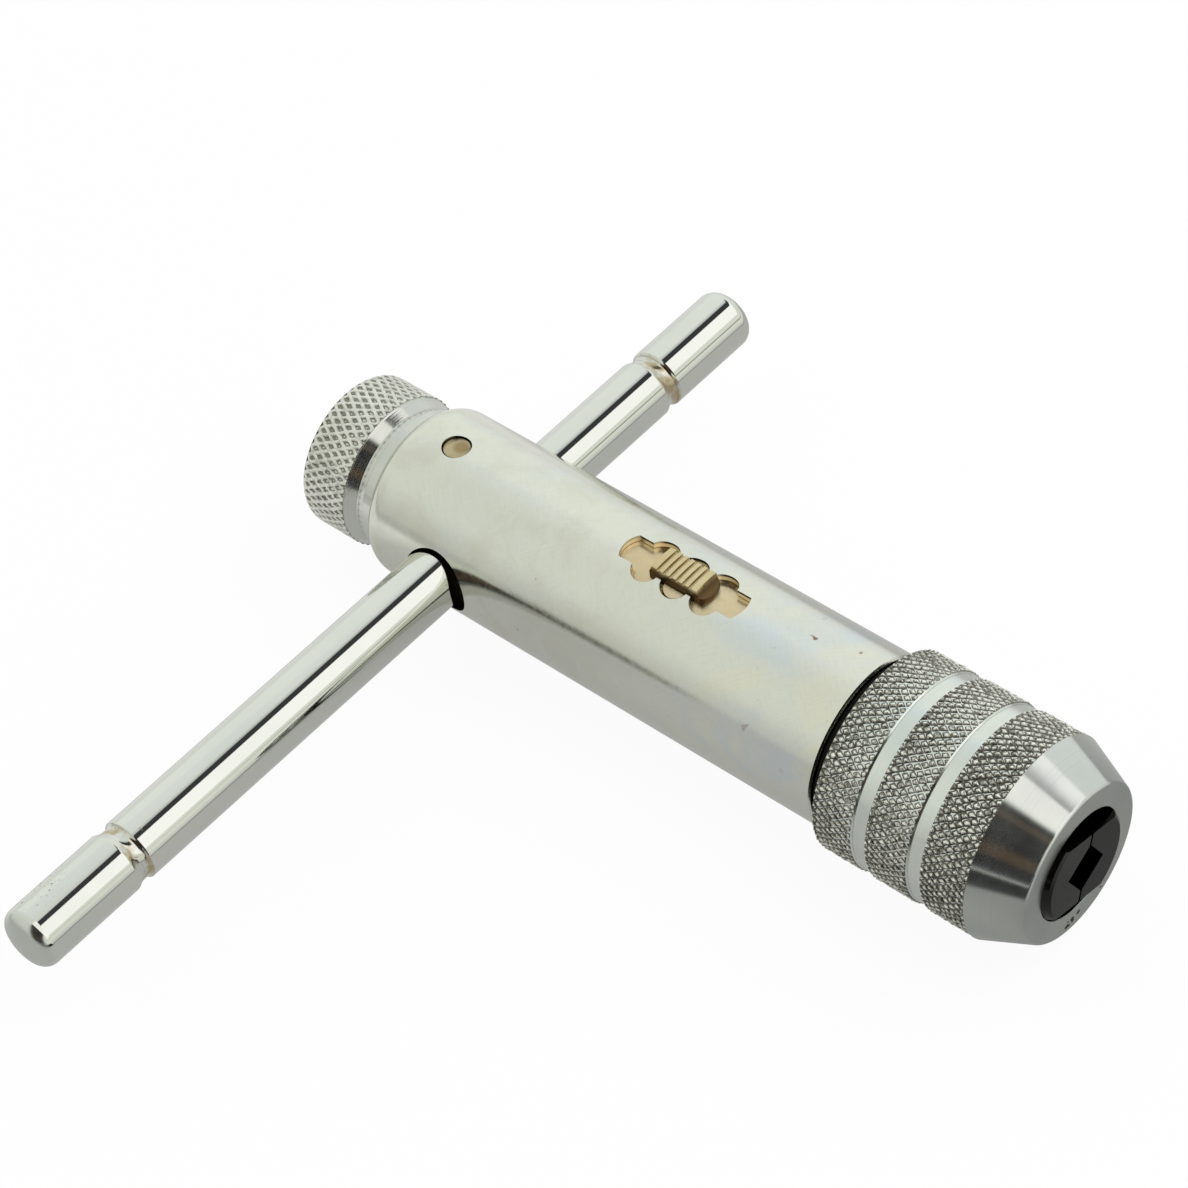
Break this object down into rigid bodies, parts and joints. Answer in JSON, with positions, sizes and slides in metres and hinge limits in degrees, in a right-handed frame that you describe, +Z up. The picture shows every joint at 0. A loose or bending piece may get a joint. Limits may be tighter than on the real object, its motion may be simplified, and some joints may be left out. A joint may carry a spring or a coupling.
{
  "type": "ratchet tap wrench",
  "caption": "Ratchet tap wrench with a sliding T-bar locked by a knurled rear knob, a reversing selector in a scalloped slot and notched jaws in a screwed nose sleeve.",
  "frame": {"origin": "middle of the nose sleeve's flat front face, on the turning axis, where a tap's square goes in", "axes": "+X out of the nose along the turning axis, +Y along the T-bar, +Z up through the selector button"},
  "size_m": [0.1068, 0.1212, 0.025],
  "materials": {
    "bright_zinc": "bright zinc plating, soft satin sheen",
    "polished_chrome": "polished",
    "machined_steel": "turned",
    "knurled_steel": "diamond knurl, turned cone",
    "yellow_zinc": "yellow passivated zinc plating",
    "black_oxide": "black oxide",
    "spring_steel": "plain spring steel",
    "bearing_bronze": "plain"
  },
  "bodies": {
    "housing": {"body_housing": "bright_zinc", "key_pin": "yellow_zinc", "pawl_guide_bush": "machined_steel", "front_bush": "bearing_bronze"},
    "knob": {"lock_knob": "machined_steel", "lock_spring": "spring_steel"},
    "bar": {"tee_bar": "polished_chrome"},
    "selector": {"selector_plate": "yellow_zinc", "selector_button": "yellow_zinc", "index_spring": "yellow_zinc", "pawl_spring": "spring_steel"},
    "pawl_blade": {"pawl": "black_oxide"},
    "spindle": {"ratchet_spindle": "black_oxide", "dust_ring": "black_oxide", "spindle_circlip": "black_oxide", "thrust_washer": "spring_steel", "jaw_spring_a": "spring_steel", "jaw_spring_b": "spring_steel"},
    "cone": {"cone_ring": "machined_steel"},
    "sleeve": {"nose_sleeve": "knurled_steel", "thread_bush": "machined_steel", "sleeve_snap_ring": "spring_steel"},
    "jaw_left": {"jaw_b": "black_oxide"},
    "jaw_right": {"jaw_a": "black_oxide"}
  },
  "joints": [
    {"name": "knob_push", "type": "slide", "parent": "housing", "child": "knob", "axis": [1, 0, 0], "range_m": [0, 0.001], "stiffness_N_per_m": 1500, "springref_m": -0.002, "deforming": ["lock_spring"]},
    {"name": "bar_slide", "type": "slide", "parent": "housing", "child": "bar", "axis": [0, 1, 0], "range_m": [-0.0287, 0.0613]},
    {"name": "spindle_turn", "type": "hinge", "parent": "housing", "child": "spindle", "pos_m": [0, 0, 0], "axis": [1, 0, 0], "continuous": true},
    {"name": "selector_slide", "type": "slide", "parent": "housing", "child": "selector", "axis": [1, 0, 0], "range_m": [-0.00425, 0.00425], "deforming": ["index_spring"]},
    {"name": "pawl_lift", "type": "slide", "parent": "selector", "child": "pawl_blade", "axis": [0, 0, 1], "range_m": [0, 0.0007], "stiffness_N_per_m": 400, "springref_m": -0.001, "deforming": ["pawl_spring"]},
    {"name": "sleeve_turn", "type": "hinge", "parent": "cone", "child": "sleeve", "pos_m": [0, 0, 0], "axis": [1, 0, 0], "range_deg": [-36.1, 1272.1]},
    {"name": "cone_travel", "type": "slide", "parent": "spindle", "child": "cone", "axis": [1, 0, 0], "range_m": [-0.00015, 0.0053]},
    {"name": "jaw_a_slide", "type": "slide", "parent": "spindle", "child": "jaw_right", "axis": [0, 0.9659, -0.2588], "range_m": [-0.00007, 0.00236], "deforming": ["jaw_spring_a", "jaw_spring_b"]},
    {"name": "jaw_b_slide", "type": "slide", "parent": "spindle", "child": "jaw_left", "axis": [0, -0.9659, 0.2588], "range_m": [-0.00007, 0.00236], "deforming": ["jaw_spring_a", "jaw_spring_b"]}
  ],
  "couplings": [
    {"joint": "sleeve_turn", "follows": "cone_travel", "rad_per_m": 4188.8},
    {"joint": "jaw_a_slide", "follows": "cone_travel", "ratio": 0.445},
    {"joint": "jaw_b_slide", "follows": "cone_travel", "ratio": 0.445}
  ]
}
